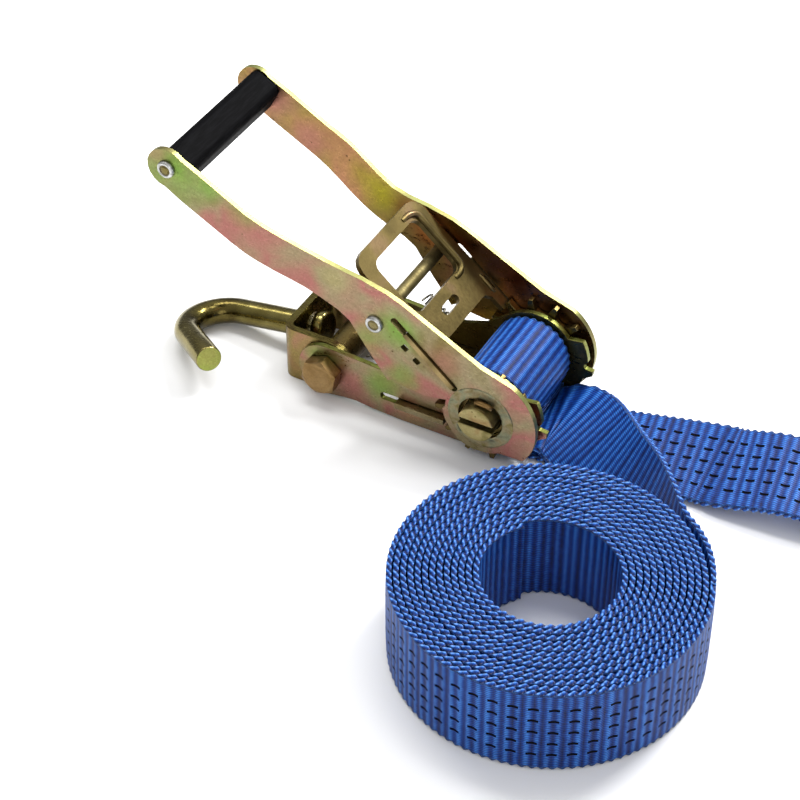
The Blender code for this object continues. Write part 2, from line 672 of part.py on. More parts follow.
def centre_on_floor(root):
    """Moves the whole object so that its box stands centred on the origin."""
    bpy.context.view_layer.update()
    graph = bpy.context.evaluated_depsgraph_get()
    low, high = Vector((1e9,) * 3), Vector((-1e9,) * 3)
    for item in bpy.context.collection.objects:
        if item.type == "EMPTY" or item.hide_render:
            continue
        mesh = item.evaluated_get(graph).to_mesh()
        for vert in mesh.vertices:
            place = item.matrix_world @ vert.co
            low = Vector(map(min, low, place))
            high = Vector(map(max, high, place))
    root.location = (-(low.x + high.x) / 2, -(low.y + high.y) / 2, -low.z)


def main():
    clear_scene()
    root = empty("tie_down", (0.0, 0.0, 0.0))
    base_frame(root)
    strap(root)
    far_fitting(root)

    spindle(empty("spindle_axis", (0.0, 0.0, SPINDLE_Z), root))
    handle_pivot = empty("handle_pivot", (0.0, 0.0, SPINDLE_Z), root, (0.0, HANDLE_REST, 0.0))
    handle(handle_pivot)
    guide = empty("pawl_guide", (0.0, 0.0, 0.0), handle_pivot, (0.0, PAWL_RISE, 0.0))
    drive_pawl(guide)
    along = Vector((-1.0, 0.0, 0.0))
    coil("drive_spring", Vector((-0.0462, 0.0, -0.0085)), along, 0.0150, 0.0030, 0.0006, 6, steel(), guide)

    lock_pawl(empty("lock_guide", (0.0, 0.0, 0.0), root))
    coil("lock_spring", Vector((-0.0625, 0.0, LOCK_Z)), along, 0.0240, 0.0035, 0.0006, 6, steel(), root)

    swing = empty("bracket_pivot", (BOLT_X, 0.0, BOLT_Z), root)
    bracket("hook_bracket", -1, swing)
    hold = empty("hook_swivel", (-BRACKET_LENGTH + BRACKET_THICK / 2, 0.0, 0.0), swing, (0.0, -HOOK_DROOP, 0.0))
    hook("hook", hold)
    centre_on_floor(root)


main()
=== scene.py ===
import json
import math

import bmesh
import bpy
import numpy as np
from mathutils import Matrix, Vector

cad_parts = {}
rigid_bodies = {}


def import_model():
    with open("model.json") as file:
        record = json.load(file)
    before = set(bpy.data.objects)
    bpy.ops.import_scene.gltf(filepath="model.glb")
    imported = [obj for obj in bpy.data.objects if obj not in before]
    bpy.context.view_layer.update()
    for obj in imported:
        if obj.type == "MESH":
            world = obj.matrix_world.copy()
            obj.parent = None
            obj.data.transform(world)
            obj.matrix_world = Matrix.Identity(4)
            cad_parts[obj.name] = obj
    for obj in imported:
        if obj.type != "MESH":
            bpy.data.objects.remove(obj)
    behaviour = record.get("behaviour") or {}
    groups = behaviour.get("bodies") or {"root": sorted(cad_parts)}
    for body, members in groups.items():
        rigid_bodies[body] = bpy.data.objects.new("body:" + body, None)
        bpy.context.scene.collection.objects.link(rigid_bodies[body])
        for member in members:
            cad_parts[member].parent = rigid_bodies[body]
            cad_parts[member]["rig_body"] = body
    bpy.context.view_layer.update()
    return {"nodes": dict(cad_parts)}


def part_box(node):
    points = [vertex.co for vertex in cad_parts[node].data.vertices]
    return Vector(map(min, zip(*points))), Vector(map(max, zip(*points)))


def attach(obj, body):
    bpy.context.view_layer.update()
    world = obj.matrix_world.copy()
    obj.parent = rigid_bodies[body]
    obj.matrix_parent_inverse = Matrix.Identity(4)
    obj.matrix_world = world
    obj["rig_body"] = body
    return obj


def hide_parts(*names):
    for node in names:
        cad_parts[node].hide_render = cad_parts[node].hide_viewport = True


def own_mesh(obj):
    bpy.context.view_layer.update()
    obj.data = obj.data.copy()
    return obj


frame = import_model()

# sizes shared with the CAD parts in model.glb, in metres, from the floor point under the spindle
SPINDLE_Z = 0.029
WEB_WIDTH = 0.050
ROLL_CENTRE = np.array((0.087, -0.140, 0.0))
ROLL_FIRST_R = 0.0758            # middle of the webbing where the strand joins the roll
ROLL_JOIN = math.radians(21.5)
ROLL_TURNS = 12.68
ROLL_PITCH = 0.00337
ROLL_LIFT = 0.0007
DRUM_OUT_R, DRUM_IN_R = 0.0239, 0.0122
FAR_TURN = math.radians(6)
FAR_BOLT = np.array((0.3080, 0.0240, 0.0168))
LOOP_R = 0.0108                  # middle of the webbing round the far sleeve
STITCH_BACK = 0.1000             # sewn end: bolt to the end of the doubled webbing
HANDLE_REST = math.radians(29.5)
PAWL_RISE = math.radians(12)
NEAR_BOLT = np.array((-0.097, 0.0, 0.0165))
HOOK_R = 0.0072
HOOK_SEAT = 0.0270               # bolt to the middle of the bracket's end wall
HOOK_DROOP = math.radians(9.3)
HOOK_SHANK = 0.044
HOOK_BEND_R = 0.0198
HOOK_BEND = math.radians(143)
HOOK_TAIL = 0.034
HOOK_LIFT = math.radians(9)

# the weave
RIB = 0.00455                    # one rib along the webbing
RIB_STEPS = 6
RIB_HEIGHT = 0.00042
WEB_BODY = 0.0023                # thickness between the ribs
BEAD = 0.0013                    # how far the selvedge's loops stand out
BEAD_SLANT = 2.6
YARN_PITCH = 0.0012
DASH_ROWS = 0.0074
DASH_PITCH = 2 * RIB
DASH_LENGTH = 0.0048
DASH_WIDTH = 0.0015


def floor_point():
    """The point of the floor under the middle of the spindle, in the row frame."""
    low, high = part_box("ratchet_wheel_near")
    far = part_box("ratchet_wheel_far")[1]
    return Vector(((low.x + high.x) / 2, (low.y + far.y) / 2, (low.z + high.z) / 2 - SPINDLE_Z))


ORIGIN = floor_point()


# ---------------------------------------------------------------- materials

def rgb(red, green, blue):
    """Linear colour of a display colour given in 0 to 255."""
    out = []
    for value in (red, green, blue):
        v = value / 255
        out.append(v / 12.92 if v <= 0.04045 else ((v + 0.055) / 1.055) ** 2.4)
    return (*out, 1.0)


class Finish:
    """A material under construction, with short names for the nodes it needs."""

    def __init__(self, name):
        self.material = bpy.data.materials.new(name)
        self.material.use_nodes = True
        self.tree = self.material.node_tree
        self.shader = self.tree.nodes["Principled BSDF"]
        self.coords = self.node("ShaderNodeTexCoord")

    def node(self, kind, **settings):
        made = self.tree.nodes.new(kind)
        for key, value in settings.items():
            setattr(made, key, value)
        return made

    def put(self, socket, value):
        if isinstance(value, bpy.types.NodeSocket):
            self.tree.links.new(value, socket)
        else:
            socket.default_value = value

    def math(self, operation, a, b=0.0, clamp=False):
        made = self.node("ShaderNodeMath", operation=operation, use_clamp=clamp)
        self.put(made.inputs[0], a)
        self.put(made.inputs[1], b)
        return made.outputs[0]

    def noise(self, scale, detail=2.0, distortion=0.0, stretch=None, offset=(0.0, 0.0, 0.0)):
        mapping = self.node("ShaderNodeMapping")
        self.put(mapping.inputs["Vector"], self.coords.outputs["Object"])
        self.put(mapping.inputs["Scale"], stretch or (1.0, 1.0, 1.0))
        self.put(mapping.inputs["Location"], offset)
        made = self.node("ShaderNodeTexNoise")
        self.put(made.inputs["Vector"], mapping.outputs[0])
        self.put(made.inputs["Scale"], scale)
        self.put(made.inputs["Detail"], detail)
        self.put(made.inputs["Distortion"], distortion)
        return made.outputs[0]

    def ramp(self, factor, stops):
        made = self.node("ShaderNodeValToRGB")
        line = made.color_ramp.elements
        while len(line) < len(stops):
            line.new(0.5)
        for element, (place, colour) in zip(line, stops):
            element.position = place
            element.color = colour
        self.put(made.inputs[0], factor)
        return made.outputs[0]

    def mix(self, factor, a, b):
        made = self.node("ShaderNodeMix", data_type="RGBA")
        self.put(made.inputs[0], factor)
        self.put(made.inputs[6], a)
        self.put(made.inputs[7], b)
        return made.outputs[2]

    def fade(self, value, start, stop, low=0.0, high=1.0):
        made = self.node("ShaderNodeMapRange", interpolation_type="SMOOTHSTEP")
        for socket, given in zip(made.inputs, (value, start, stop, low, high)):
            self.put(socket, given)
        return made.outputs[0]

    def cloud(self, colour, place, radius, tint, strength=1.0):
        """Tints a soft ragged patch round a point of the row frame."""
        wobble = self.noise(45.0, 2.0)
        apart = self.node("ShaderNodeVectorMath", operation="DISTANCE")
        self.put(apart.inputs[0], self.coords.outputs["Object"])
        self.put(apart.inputs[1], tuple(place))
        ragged = self.math("ADD", apart.outputs["Value"], self.math("MULTIPLY", wobble, radius * 0.9))
        share = self.fade(ragged, radius * 0.45, radius * 1.45, strength, 0.0)
        return self.mix(share, colour, tint)

    def bump(self, height, distance, strength=1.0):
        made = self.node("ShaderNodeBump")
        self.put(made.inputs["Height"], height)
        self.put(made.inputs["Distance"], distance)
        self.put(made.inputs["Strength"], strength)
        self.put(self.shader.inputs["Normal"], made.outputs[0])

    def finish(self, colour, roughness, metallic=0.0):
        self.put(self.shader.inputs["Base Color"], colour)
        self.put(self.shader.inputs["Roughness"], roughness)
        self.put(self.shader.inputs["Metallic"], metallic)
        return self.material


TAN = rgb(146, 134, 102)
STRAW = rgb(162, 152, 106)
OLIVE = rgb(118, 108, 62)
PINK = rgb(162, 106, 98)
LIME = rgb(112, 150, 62)
BRONZE = rgb(112, 96, 56)
BROWN = rgb(78, 60, 36)
ORANGE = rgb(170, 98, 46)
PLUM = rgb(74, 50, 72)
GREY_GREEN = rgb(134, 136, 108)
SILVER = rgb(205, 206, 204)


def plated(name, stops, clouds=(), roughness=(0.26, 0.46), offset=(0.0, 0.0, 0.0), pits=0.75, scale=26.0):
    """Yellow zinc plating: drifting colours, small pits, fine scratches and an uneven gloss."""
    f = Finish(name)
    colour = f.ramp(f.noise(scale, 2.5, 0.7, offset=offset), stops)
    for cloud in clouds:
        colour = f.cloud(colour, *cloud)
    fine = f.noise(900.0, 3.0)
    colour = f.mix(f.fade(fine, 0.35, 0.75, 0.0, 0.22), colour, BROWN)
    spots = f.node("ShaderNodeTexVoronoi", feature="F1")
    f.put(spots.inputs["Vector"], f.coords.outputs["Object"])
    f.put(spots.inputs["Scale"], 190.0)
    few = f.fade(f.noise(60.0, 1.0, offset=(0.3, 0.1, 0.2)), 0.50, 0.62)
    spot = f.math("MULTIPLY", f.fade(spots.outputs["Distance"], 0.06, 0.17, pits, 0.0), few)
    colour = f.mix(spot, colour, BROWN)
    scratch = f.noise(240.0, 2.0, stretch=(1.0, 6.0, 2.5))
    gloss = f.math("ADD", f.fade(scratch, 0.3, 0.7, roughness[0], roughness[1]),
                   f.math("MULTIPLY", spot, 0.3))
    f.bump(f.math("ADD", f.math("MULTIPLY", fine, 0.5), f.math("MULTIPLY", scratch, 0.5)), 0.00006)
    return f.finish(colour, gloss, 1.0)


def cut_edge():
    """Sheared edge of a plated sheet: paler, with fine lines across the thickness."""
    f = Finish("cut_edge")
    colour = f.ramp(f.noise(60.0, 2.0), [(0.35, rgb(150, 152, 94)), (0.65, rgb(128, 118, 76))])
    f.bump(f.noise(500.0, 2.0, stretch=(3.0, 1.0, 3.0)), 0.00008)
    return f.finish(colour, 0.42, 1.0)


def bare_steel(name, tint):
    f = Finish(name)
    colour = f.mix(f.fade(f.noise(500.0, 3.0), 0.3, 0.7), tint, SILVER)
    f.bump(f.noise(700.0, 2.0), 0.00005)
    return f.finish(colour, 0.33, 1.0)


def moulded_plastic():
    """Black satin plastic with long drawn marks."""
    f = Finish("moulded_plastic")
    grain = f.noise(160.0, 3.0, stretch=(6.0, 0.6, 6.0))
    colour = f.mix(f.fade(grain, 0.35, 0.75), rgb(5, 5, 6), rgb(14, 14, 16))
    f.bump(f.math("ADD", grain, f.math("MULTIPLY", f.noise(1800.0, 1.0), 0.25)), 0.00008)
    f.put(f.shader.inputs["Specular IOR Level"], 0.03)
    return f.finish(colour, 0.6)


# webbing blues: DEEP is the painted shade in the rib grooves and between the yarns, BRIGHT the painted
# highlight on the rib crests, MIDDLE the blue between
DEEP = rgb(3, 18, 66)
MIDDLE = rgb(10, 60, 142)
BRIGHT = rgb(58, 124, 212)
INK = rgb(4, 5, 12)


def weave(name, dashes):
    """A webbing face: ribs across it with a painted highlight on each crest and painted shade in each groove,
    twisted yarns on each rib with painted shade between them, and dashes of black yarn on one face.
    """
    f = Finish(name)
    split = f.node("ShaderNodeSeparateXYZ")
    f.put(split.inputs[0], f.coords.outputs["UV"])
    along, across = split.outputs[0], split.outputs[1]
    turn = 2 * math.pi / RIB
    # painted light: the rib cosine below makes each rib's crest lighter, a painted highlight, and each groove
    # darker, painted shade
    lift = f.math("COSINE", f.math("MULTIPLY", along, turn))
    ridge_light = f.math("MULTIPLY_ADD", lift, 0.5 if dashes else -0.5)
    ridge_light.node.inputs[2].default_value = 0.5
    sideways = f.math("MULTIPLY", across, 2 * math.pi / YARN_PITCH)
    slant = f.math("ADD", sideways, f.math("MULTIPLY", along, turn * 0.5))
    yarn = f.math("SINE", slant)
    each = f.node("ShaderNodeTexWhiteNoise", noise_dimensions="1D")
    f.put(each.inputs["W"], f.math("FLOOR", f.math("DIVIDE", f.math("ADD", along, RIB / 2), RIB)))
    level = f.math("MULTIPLY", f.math("SUBTRACT", each.outputs["Value"], 0.5), 0.22)
    grain = f.math("ADD", level, f.math("MULTIPLY", f.noise(420.0, 2.0), 0.42))
    # the ramp turns the painted rib light, the per-rib tone and the random grain into the blues
    colour = f.ramp(f.math("ADD", f.math("MULTIPLY", ridge_light, 0.52), grain),
                    [(0.06, DEEP), (0.42, MIDDLE), (0.86, BRIGHT)])
    # painted shade: darker lines in the gaps between the twisted yarns
    colour = f.mix(f.fade(yarn, -0.9, 0.5, 0.72, 0.0), colour, DEEP)
    if dashes:
        row = f.math("PINGPONG", f.math("ADD", across, DASH_ROWS * 10), DASH_ROWS / 2)
        inside = f.math("LESS_THAN", row, DASH_WIDTH / 2)
        middle = f.math("LESS_THAN", f.math("ABSOLUTE", across), DASH_ROWS * 2.4)
        step = f.math("PINGPONG", f.math("ADD", along, RIB / 2), DASH_PITCH / 2)
        length = f.math("LESS_THAN", step, DASH_LENGTH / 2)
        mask = f.math("MULTIPLY", f.math("MULTIPLY", inside, middle), length)
        colour = f.mix(mask, colour, INK)
        f.put(f.shader.inputs["Specular IOR Level"], f.fade(mask, 0.0, 1.0, 0.2, 0.02))
    else:
        f.put(f.shader.inputs["Specular IOR Level"], 0.2)
    f.bump(f.math("ADD", f.math("MULTIPLY", yarn, 0.5), f.noise(1500.0, 2.0)), 0.00009)
    return f.finish(colour, 0.46)


def selvedge():
    """The woven edge: slanted loops with a painted highlight on top of each, painted shade between them and
    between their yarns.
    """
    f = Finish("selvedge")
    split = f.node("ShaderNodeSeparateXYZ")
    f.put(split.inputs[0], f.coords.outputs["UV"])
    phase = f.math("SUBTRACT", f.math("MULTIPLY", split.outputs[0], 2 * math.pi / RIB),
                   f.math("MULTIPLY", split.outputs[1], BEAD_SLANT * 2 / WEB_BODY))
    loop = f.math("MULTIPLY_ADD", f.math("COSINE", phase), 0.5)
    loop.node.inputs[2].default_value = 0.5
    yarn = f.math("SINE", f.math("ADD", f.math("MULTIPLY", phase, 2.0),
                                 f.math("MULTIPLY", split.outputs[1], 5200.0)))
    grain = f.math("MULTIPLY", f.noise(380.0, 3.0), 0.42)
    # painted light: the loop cosine lights the top of each loop as a painted highlight and darkens the
    # hollows between loops as painted shade
    colour = f.ramp(f.math("ADD", f.math("MULTIPLY", loop, 0.8), grain), [
        (0.20, rgb(5, 18, 62)), (0.58, MIDDLE), (0.84, rgb(34, 96, 188)), (1.0, rgb(92, 148, 226))])
    # painted shade: darker lines in the gaps between the yarns
    colour = f.mix(f.fade(yarn, -1.0, 0.2, 0.5, 0.0), colour, DEEP)
    f.bump(f.math("ADD", yarn, f.noise(900.0, 2.0)), 0.00022)
    f.put(f.shader.inputs["Specular IOR Level"], 0.32)
    return f.finish(colour, 0.42)


# ---------------------------------------------------------------- webbing

def smooth_route(points, count):
    """Points on a Catmull-Rom curve through the given ones."""
    p = np.array(points, float)
    p = np.vstack([2 * p[0] - p[1], p, 2 * p[-1] - p[-2]])
    t = np.linspace(0, len(points) - 1, count)
    i = np.minimum(t.astype(int), len(points) - 2)
    f = (t - i)[:, None]
    a, b, c, d = p[i], p[i + 1], p[i + 2], p[i + 3]
    square = (2 * a - 5 * b + 4 * c - d) * f ** 2
    cube = (3 * b - a - 3 * c + d) * f ** 3
    return 0.5 * (2 * b + (c - a) * f + square + cube)


def unit(v):
    return v / np.linalg.norm(v, axis=1, keepdims=True)


class Route:
    """The two edges of a length of webbing, spread evenly over its real length."""

    def __init__(self, near, far, half=None):
        middle = (near + far) / 2
        across = unit(far - near)
        half = np.full(len(middle), WEB_WIDTH / 2) if half is None else half
        s = np.concatenate([[0], np.cumsum(np.linalg.norm(np.diff(middle, axis=0), axis=1))])
        self.length = float(s[-1])
        self.s = np.linspace(0, self.length, max(4, int(self.length / RIB * RIB_STEPS)))
        self.middle = np.stack([np.interp(self.s, s, middle[:, k]) for k in range(3)], 1)
        self.across = unit(np.stack([np.interp(self.s, s, across[:, k]) for k in range(3)], 1))
        self.half = np.interp(self.s, s, half)
        along = unit(np.gradient(self.middle, axis=0))
        self.across = unit(self.across - along * (self.across * along).sum(1, keepdims=True))
        self.up = np.cross(along, self.across)


FACE_PLACES = (-0.985, -0.55, 0.0, 0.55, 0.985)
EDGE_PLACES = (0.82, 0.45, 0.0, -0.45, -0.82)


def webbing(name, route, dash_side, finishes):
    """Closed mesh of one length of webbing, with ribs across both faces and looped selvedges."""
    turn = 2 * math.pi * route.s / RIB
    swell = (0.5 + 0.5 * np.cos(turn)) ** 1.4
    dent = (0.5 - 0.5 * np.cos(turn)) ** 1.4
    core = route.half - BEAD
    rings, texture = [], []

    def point(sideways, outwards, v):
        flat = route.middle + route.across * sideways[:, None]
        rings.append(flat + route.up * (dash_side * outwards)[:, None])
        texture.append(v)

    for side, places, rise in ((1, FACE_PLACES, swell), (-1, FACE_PLACES[::-1], dent)):
        for a in places:
            taper = 0.45 if abs(a) > 0.9 else 1.0
            point(core * a, side * (WEB_BODY / 2 + RIB_HEIGHT * rise * taper), core * a)
        for t in EDGE_PLACES:
            t = t * side
            loop = (0.5 + 0.5 * np.cos(turn - BEAD_SLANT * t)) ** 0.8
            reach = core + BEAD * loop * (1.0 - 0.2 * t * t)
            point(side * reach, t * WEB_BODY / 2 * (1.06 + 0.36 * loop), np.full_like(core, t * WEB_BODY / 2))

    count, around = len(route.s), len(rings)
    verts = np.stack(rings, 1).reshape(-1, 3) + np.array(ORIGIN)
    first = np.arange(count - 1)[:, None] * around + np.arange(around)[None, :]
    after = np.arange(count - 1)[:, None] * around + (np.arange(around)[None, :] + 1) % around
    quads = np.stack([first, after, after + around, first + around], 2).reshape(-1, 4)
    if dash_side < 0:
        quads = quads[:, ::-1]
    caps = [list(range(around)), list(range((count - 1) * around, count * around))]
    caps[0 if dash_side > 0 else 1].reverse()
    mesh = bpy.data.meshes.new(name)
    mesh.from_pydata(verts.tolist(), [], quads.tolist() + caps)
    for finish in finishes:
        mesh.materials.append(finish)
    per_face = len(FACE_PLACES)
    slots = [0] * (per_face - 1) + [2] * (per_face + 1) + [1] * (per_face - 1) + [2] * (per_face + 1)
    mesh.polygons.foreach_set("material_index", slots * (count - 1) + [2, 2])
    layer = mesh.uv_layers.new(name="strap")
    v = np.stack(texture, 1).reshape(-1)
    u = np.repeat(route.s, around)
    loops = np.empty(len(mesh.loops), int)
    mesh.loops.foreach_get("vertex_index", loops)
    layer.data.foreach_set("uv", np.stack([u[loops], v[loops]], 1).astype(np.float32).ravel())
    mesh.shade_smooth()
    made = bpy.data.objects.new(name, mesh)
    bpy.context.scene.collection.objects.link(made)
    return made


TAIL_NEAR = [(0.0085, -0.0249, 0.0046), (0.0130, -0.0250, 0.0050), (0.0195, -0.0252, 0.0050),
             (0.0300, -0.0240, 0.0054), (0.0420, -0.0280, 0.0040), (0.0550, -0.0375, 0.0018),
             (0.0695, -0.0475, 0.0018), (0.0880, -0.0570, 0.0018), (0.1075, -0.0640, 0.0010)]
TAIL_FAR = [(0.0085, 0.0249, 0.0046), (0.0130, 0.0250, 0.0050), (0.0195, 0.0250, 0.0092),
            (0.0320, 0.0250, 0.0180), (0.0477, 0.0150, 0.0250), (0.0645, 0.0000, 0.0320),
            (0.0796, -0.0163, 0.0380), (0.0970, -0.0345, 0.0440), (0.1130, -0.0540, 0.0480)]
TAIL_WRAP = ((60, 0.0790), (50, 0.0780), (40, 0.0775), (30, 0.0765), (21.5, ROLL_FIRST_R))
LEAD_NEAR = [(-0.0080, -0.0250, 0.0019), (0.0180, -0.0250, 0.0019), (0.0600, -0.0215, 0.0020),
             (0.1098, -0.0170, 0.0032), (0.1280, -0.0173, 0.0068), (0.1528, -0.0148, 0.0120),
             (0.1720, -0.0135, 0.0120), (0.1900, -0.0122, 0.0060)]
LEAD_FAR = [(-0.0080, 0.0250, 0.0019), (0.0180, 0.0250, 0.0020), (0.0570, 0.0257, 0.0080),
            (0.0981, 0.0303, 0.0150), (0.1175, 0.0298, 0.0185), (0.1423, 0.0323, 0.0230),
            (0.1640, 0.0355, 0.0200), (0.1850, 0.0375, 0.0090)]


def ring_point(angle, radius, height):
    return ROLL_CENTRE + np.array((radius * math.cos(angle), radius * math.sin(angle), height))


def tail_and_roll():
    """From under the drum, up onto its edge, round the outside of the roll and in to its plain cut end."""
    near, far = list(map(np.array, TAIL_NEAR)), list(map(np.array, TAIL_FAR))
    for degrees, radius in TAIL_WRAP:
        near.append(ring_point(math.radians(degrees), radius, 0.0003))
        far.append(ring_point(math.radians(degrees), radius, WEB_WIDTH))
    near, far = smooth_route(near, 900), smooth_route(far, 900)
    turned = np.linspace(0, 2 * math.pi * ROLL_TURNS, int(ROLL_TURNS * 360))[1:]
    angle = ROLL_JOIN - turned
    radius = ROLL_FIRST_R - ROLL_PITCH * turned / (2 * math.pi)
    settle = 0.0002 * (np.sin(turned * 0.83) + np.sin(turned * 0.37 + 1.0)) * np.minimum(turned / 3, 1)
    flat = np.stack([ROLL_CENTRE[0] + radius * np.cos(angle), ROLL_CENTRE[1] + radius * np.sin(angle)], 1)
    low = np.column_stack([flat, ROLL_LIFT + settle])
    high = np.column_stack([flat, WEB_WIDTH + settle])
    return Route(np.vstack([near, low]), np.vstack([far, high]))


def lead_and_loop():
    """Along the floor to the sewn end, round the far sleeve and back on top of itself."""
    heading = np.array((math.cos(FAR_TURN), math.sin(FAR_TURN), 0.0))
    left = np.array((-heading[1], heading[0], 0.0))
    stop = FAR_BOLT - heading * STITCH_BACK
    stop[2] = 0.0019
    near, far = list(map(np.array, LEAD_NEAR)), list(map(np.array, LEAD_FAR))
    for back in (0.0090, 0.0):
        near.append(stop - left * WEB_WIDTH / 2 - heading * back)
        far.append(stop + left * WEB_WIDTH / 2 - heading * back)
    near, far = smooth_route(near, 500), smooth_route(far, 500)
    floor = -FAR_BOLT[2]
    turns = [math.radians(a) for a in range(-115, 116, 10)]
    wrap = [(LOOP_R * math.cos(a), LOOP_R * math.sin(a)) for a in turns]
    places = [(-0.080, floor + 0.0019), (-0.062, floor + 0.0019), (-0.045, floor + 0.0019),
              (-0.030, floor + 0.0027), (-0.016, floor + 0.0050)]
    places += wrap
    places += [(-0.018, 0.0022), (-0.033, -0.0064), (-0.046, floor + 0.0050), (-0.062, floor + 0.0049),
               (-0.080, floor + 0.0049), (-STITCH_BACK, floor + 0.0049)]
    line = smooth_route([(x, 0.0, z) for x, z in places], 500)
    centre = FAR_BOLT + heading * line[:, :1] + np.array((0.0, 0.0, 1.0)) * line[:, 2:]
    narrow = np.interp(line[:, 0], (-0.065, -0.035), (WEB_WIDTH / 2, 0.0214))
    half = np.concatenate([np.full(500, WEB_WIDTH / 2), narrow])
    return Route(np.vstack([near, centre - left * 0.02]), np.vstack([far, centre + left * 0.02]), half)


def drum_route():
    """Wound turns on the spindle; each turn steps over the last one at the underside."""
    turns = (DRUM_OUT_R - DRUM_IN_R) / ROLL_PITCH
    turned = np.linspace(0, 2 * math.pi * turns, 1400)
    whole = np.floor(turned / (2 * math.pi))
    share = np.clip((turned / (2 * math.pi) - whole) / 0.24, 0, 1)
    radius = np.maximum(DRUM_OUT_R - ROLL_PITCH * (whole + share * share * (3 - 2 * share)), DRUM_IN_R)
    angle = math.radians(-40) - turned
    x, z = radius * np.cos(angle), SPINDLE_Z + radius * np.sin(angle)
    near = np.column_stack([x, np.full_like(x, -WEB_WIDTH / 2), z])
    far = np.column_stack([x, np.full_like(x, WEB_WIDTH / 2), z])
    return Route(near, far)


STITCH_SIZE = (0.0019, 0.00045, 0.0004, 1.0)


def stitching(finish):
    """Rows of thread over the doubled end, each stitch a short stretched ball, turned one way then the other.
    """
    heading = Vector((math.cos(FAR_TURN), math.sin(FAR_TURN), 0.0))
    left = Vector((-heading.y, heading.x, 0.0))
    top = 0.0067
    bm = bmesh.new()
    for row in range(9):
        side = (row - 4) * 0.0048
        for n in range(13):
            back = STITCH_BACK - 0.0045 - n * 0.0037
            wave = 0.0012 * (1 if n % 2 else -1)
            place = Vector(FAR_BOLT) - heading * back + left * (side + wave)
            place.z = top
            turn = Matrix.Rotation(FAR_TURN + (0.35 if n % 2 else -0.35), 4, "Z")
            matrix = Matrix.Translation(place + ORIGIN) @ turn @ Matrix.Diagonal(STITCH_SIZE)
            bmesh.ops.create_icosphere(bm, subdivisions=2, radius=1.0, matrix=matrix)
    return mesh_piece("end_stitching", bm, finish)


def mesh_piece(name, bm, *finishes):
    mesh = bpy.data.meshes.new(name)
    bmesh.ops.recalc_face_normals(bm, faces=bm.faces)
    bm.to_mesh(mesh)
    bm.free()
    for finish in finishes:
        mesh.materials.append(finish)
    mesh.shade_smooth()
    made = bpy.data.objects.new(name, mesh)
    bpy.context.scene.collection.objects.link(made)
    return made


def thread():
    f = Finish("thread")
    colour = f.mix(f.fade(f.noise(900.0, 2.0), 0.3, 0.7), rgb(16, 20, 40), rgb(40, 52, 92))
    return f.finish(colour, 0.6)


def dress_webbing():
    finishes = [weave("weave_dashes", True), weave("weave_plain", False), selvedge()]
    route = tail_and_roll()
    roll = webbing("webbing_roll", route, -1, finishes)
    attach(roll, "frame")
    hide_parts("strap_roll", "strap_tail")

    route = lead_and_loop()
    lead = webbing("webbing_lead", route, 1, finishes)
    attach(lead, "frame")
    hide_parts("strap_lead", "strap_end_loop")
    sewn = stitching(thread())
    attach(sewn, "frame")

    route = drum_route()
    drum = webbing("webbing_drum", route, -1, finishes)
    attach(drum, "spindle")
    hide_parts("strap_drum")


# ---------------------------------------------------------------- metal

def on_handle(along, up, y):
    """A point of the handle's frame in the row frame: along it from the spindle, up over its middle line."""
    c, s = math.cos(HANDLE_REST), math.sin(HANDLE_REST)
    return ORIGIN + Vector((-along * c + up * s, y, SPINDLE_Z + along * s + up * c))


def on_pawl(distance, y, over=0.0):
    """A point of the release plate in the row frame."""
    a = HANDLE_REST + PAWL_RISE
    c, s = math.cos(a), math.sin(a)
    return ORIGIN + Vector((-distance * c + over * s, y, SPINDLE_Z + distance * s + over * c))


def refine(node, finish, edge=None, bevel=0.0004, line=None):
    """Copies a CAD node with rounded edges and its own finish.

    The sheared edges of a sheet take a finish of their own, and its rounded corners a line finish.
    """
    source = frame["nodes"][node]
    bm = bmesh.new()
    bm.from_mesh(source.data)
    bmesh.ops.remove_doubles(bm, verts=bm.verts, dist=1e-6)
    bmesh.ops.dissolve_limit(bm, angle_limit=math.radians(0.6), verts=bm.verts, edges=bm.edges)
    if edge is not None:
        axis = Vector((0.0, 1.0, 0.0))
        for face in bm.faces:
            face.material_index = 1 if abs(face.normal.dot(axis)) < 0.6 else 0
    finishes = [finish] if edge is None else [finish, edge, line]
    piece = mesh_piece(node + "_plated", bm, *[f for f in finishes if f])
    if bevel:
        rounding = piece.modifiers.new("rounding", "BEVEL")
        rounding.width = bevel
        rounding.segments = 2
        rounding.limit_method = "ANGLE"
        rounding.angle_limit = math.radians(32)
        rounding.material = 2 if edge and line else -1
        shading = piece.modifiers.new("shading", "WEIGHTED_NORMAL")
        shading.keep_sharp = False
    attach(piece, source["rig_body"])
    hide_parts(node)
    return piece


